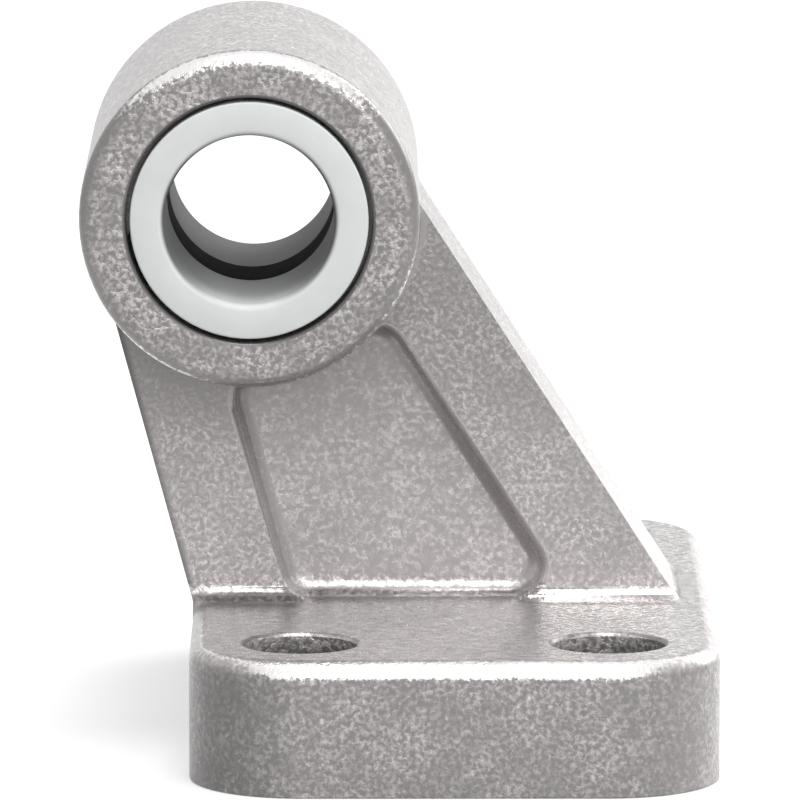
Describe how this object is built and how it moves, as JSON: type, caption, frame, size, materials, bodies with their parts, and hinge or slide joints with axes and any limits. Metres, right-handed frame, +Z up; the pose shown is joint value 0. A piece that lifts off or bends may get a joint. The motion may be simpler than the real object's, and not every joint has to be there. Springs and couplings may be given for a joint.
{
  "type": "cylinder clevis foot",
  "caption": "Right-angle clevis foot for a pneumatic cylinder: a leaning web with recessed faces joins a bushed cross barrel for the pivot pin to a rounded bolt-down foot plate.",
  "frame": {"origin": "centre of the bolt hole pattern on the underside of the foot plate", "axes": "+Z up from the mounting surface, +Y along the axis of the pivot bore, +X from the eye towards the toe of the web"},
  "size_m": [0.0375, 0.051, 0.042],
  "materials": {
    "cast_aluminium": "as-cast, shot-blasted, fine grain",
    "bush_plastic": "smooth, light grey",
    "spacer_black": "matt black"
  },
  "bodies": {
    "root": {"cast_foot": "cast_aluminium", "front_bush": "bush_plastic", "rear_bush": "bush_plastic", "spacer_ring": "spacer_black"}
  },
  "joints": []
}
